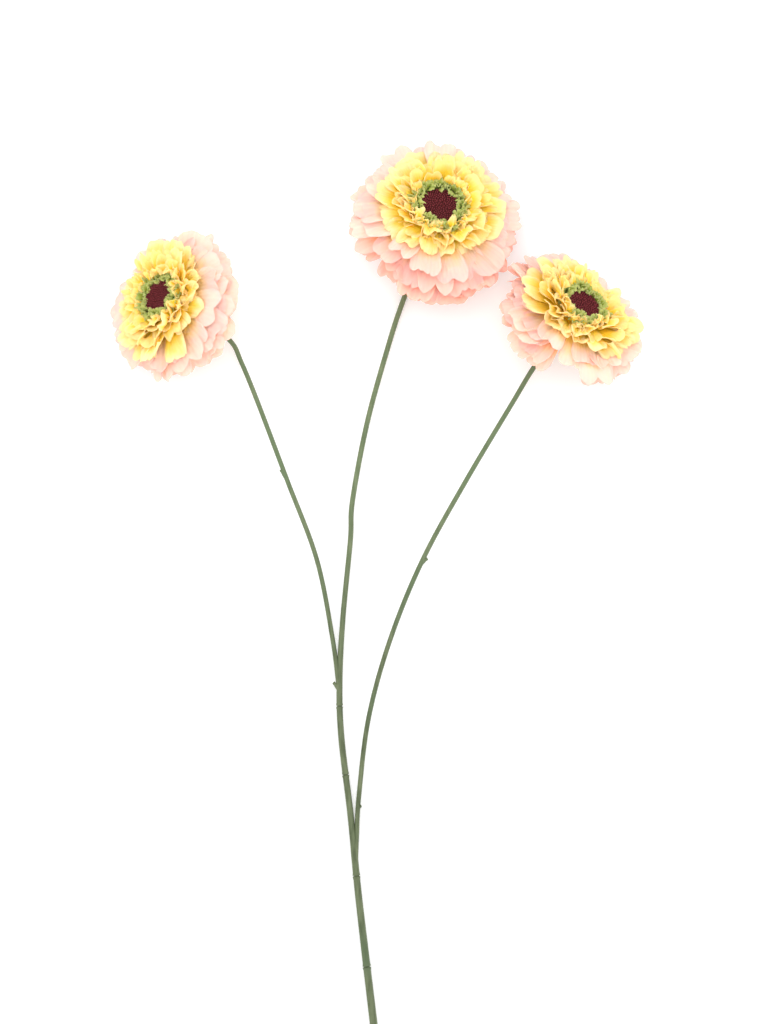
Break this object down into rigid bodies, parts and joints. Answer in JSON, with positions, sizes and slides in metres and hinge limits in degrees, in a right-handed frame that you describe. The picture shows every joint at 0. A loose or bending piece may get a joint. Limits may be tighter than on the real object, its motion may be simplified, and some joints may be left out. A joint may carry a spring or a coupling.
{
  "type": "zinnia flower spray",
  "caption": "Forked cut stem carrying full double blooms with layered pink and yellow petals, green florets and a dark disc, lying on its side for arranging or set dressing.",
  "frame": {"origin": "middle of the spray's footprint, on the surface that it lies on", "axes": "+Y along the spray from the cut end of the stem to the top bloom, +Z up off the surface, which is where the blooms face, and +X to the right seen from above with +Y up"},
  "size_m": [0.2949, 0.6005, 0.0658],
  "materials": {
    "stem_green": "matte",
    "calyx_green": "matte",
    "pink_petal": "matte",
    "yellow_petal": "matte",
    "green_floret": "matte",
    "burgundy_disc": "matte"
  },
  "bodies": {
    "root": {"stem": "stem_green", "top_calyx": "calyx_green", "top_outer_petals": "pink_petal", "top_inner_petals": "yellow_petal", "top_florets": "green_floret", "top_disc": "burgundy_disc", "left_calyx": "calyx_green", "left_outer_petals": "pink_petal", "left_inner_petals": "yellow_petal", "left_florets": "green_floret", "left_disc": "burgundy_disc", "right_calyx": "calyx_green", "right_outer_petals": "pink_petal", "right_inner_petals": "yellow_petal", "right_florets": "green_floret", "right_disc": "burgundy_disc"}
  },
  "joints": []
}
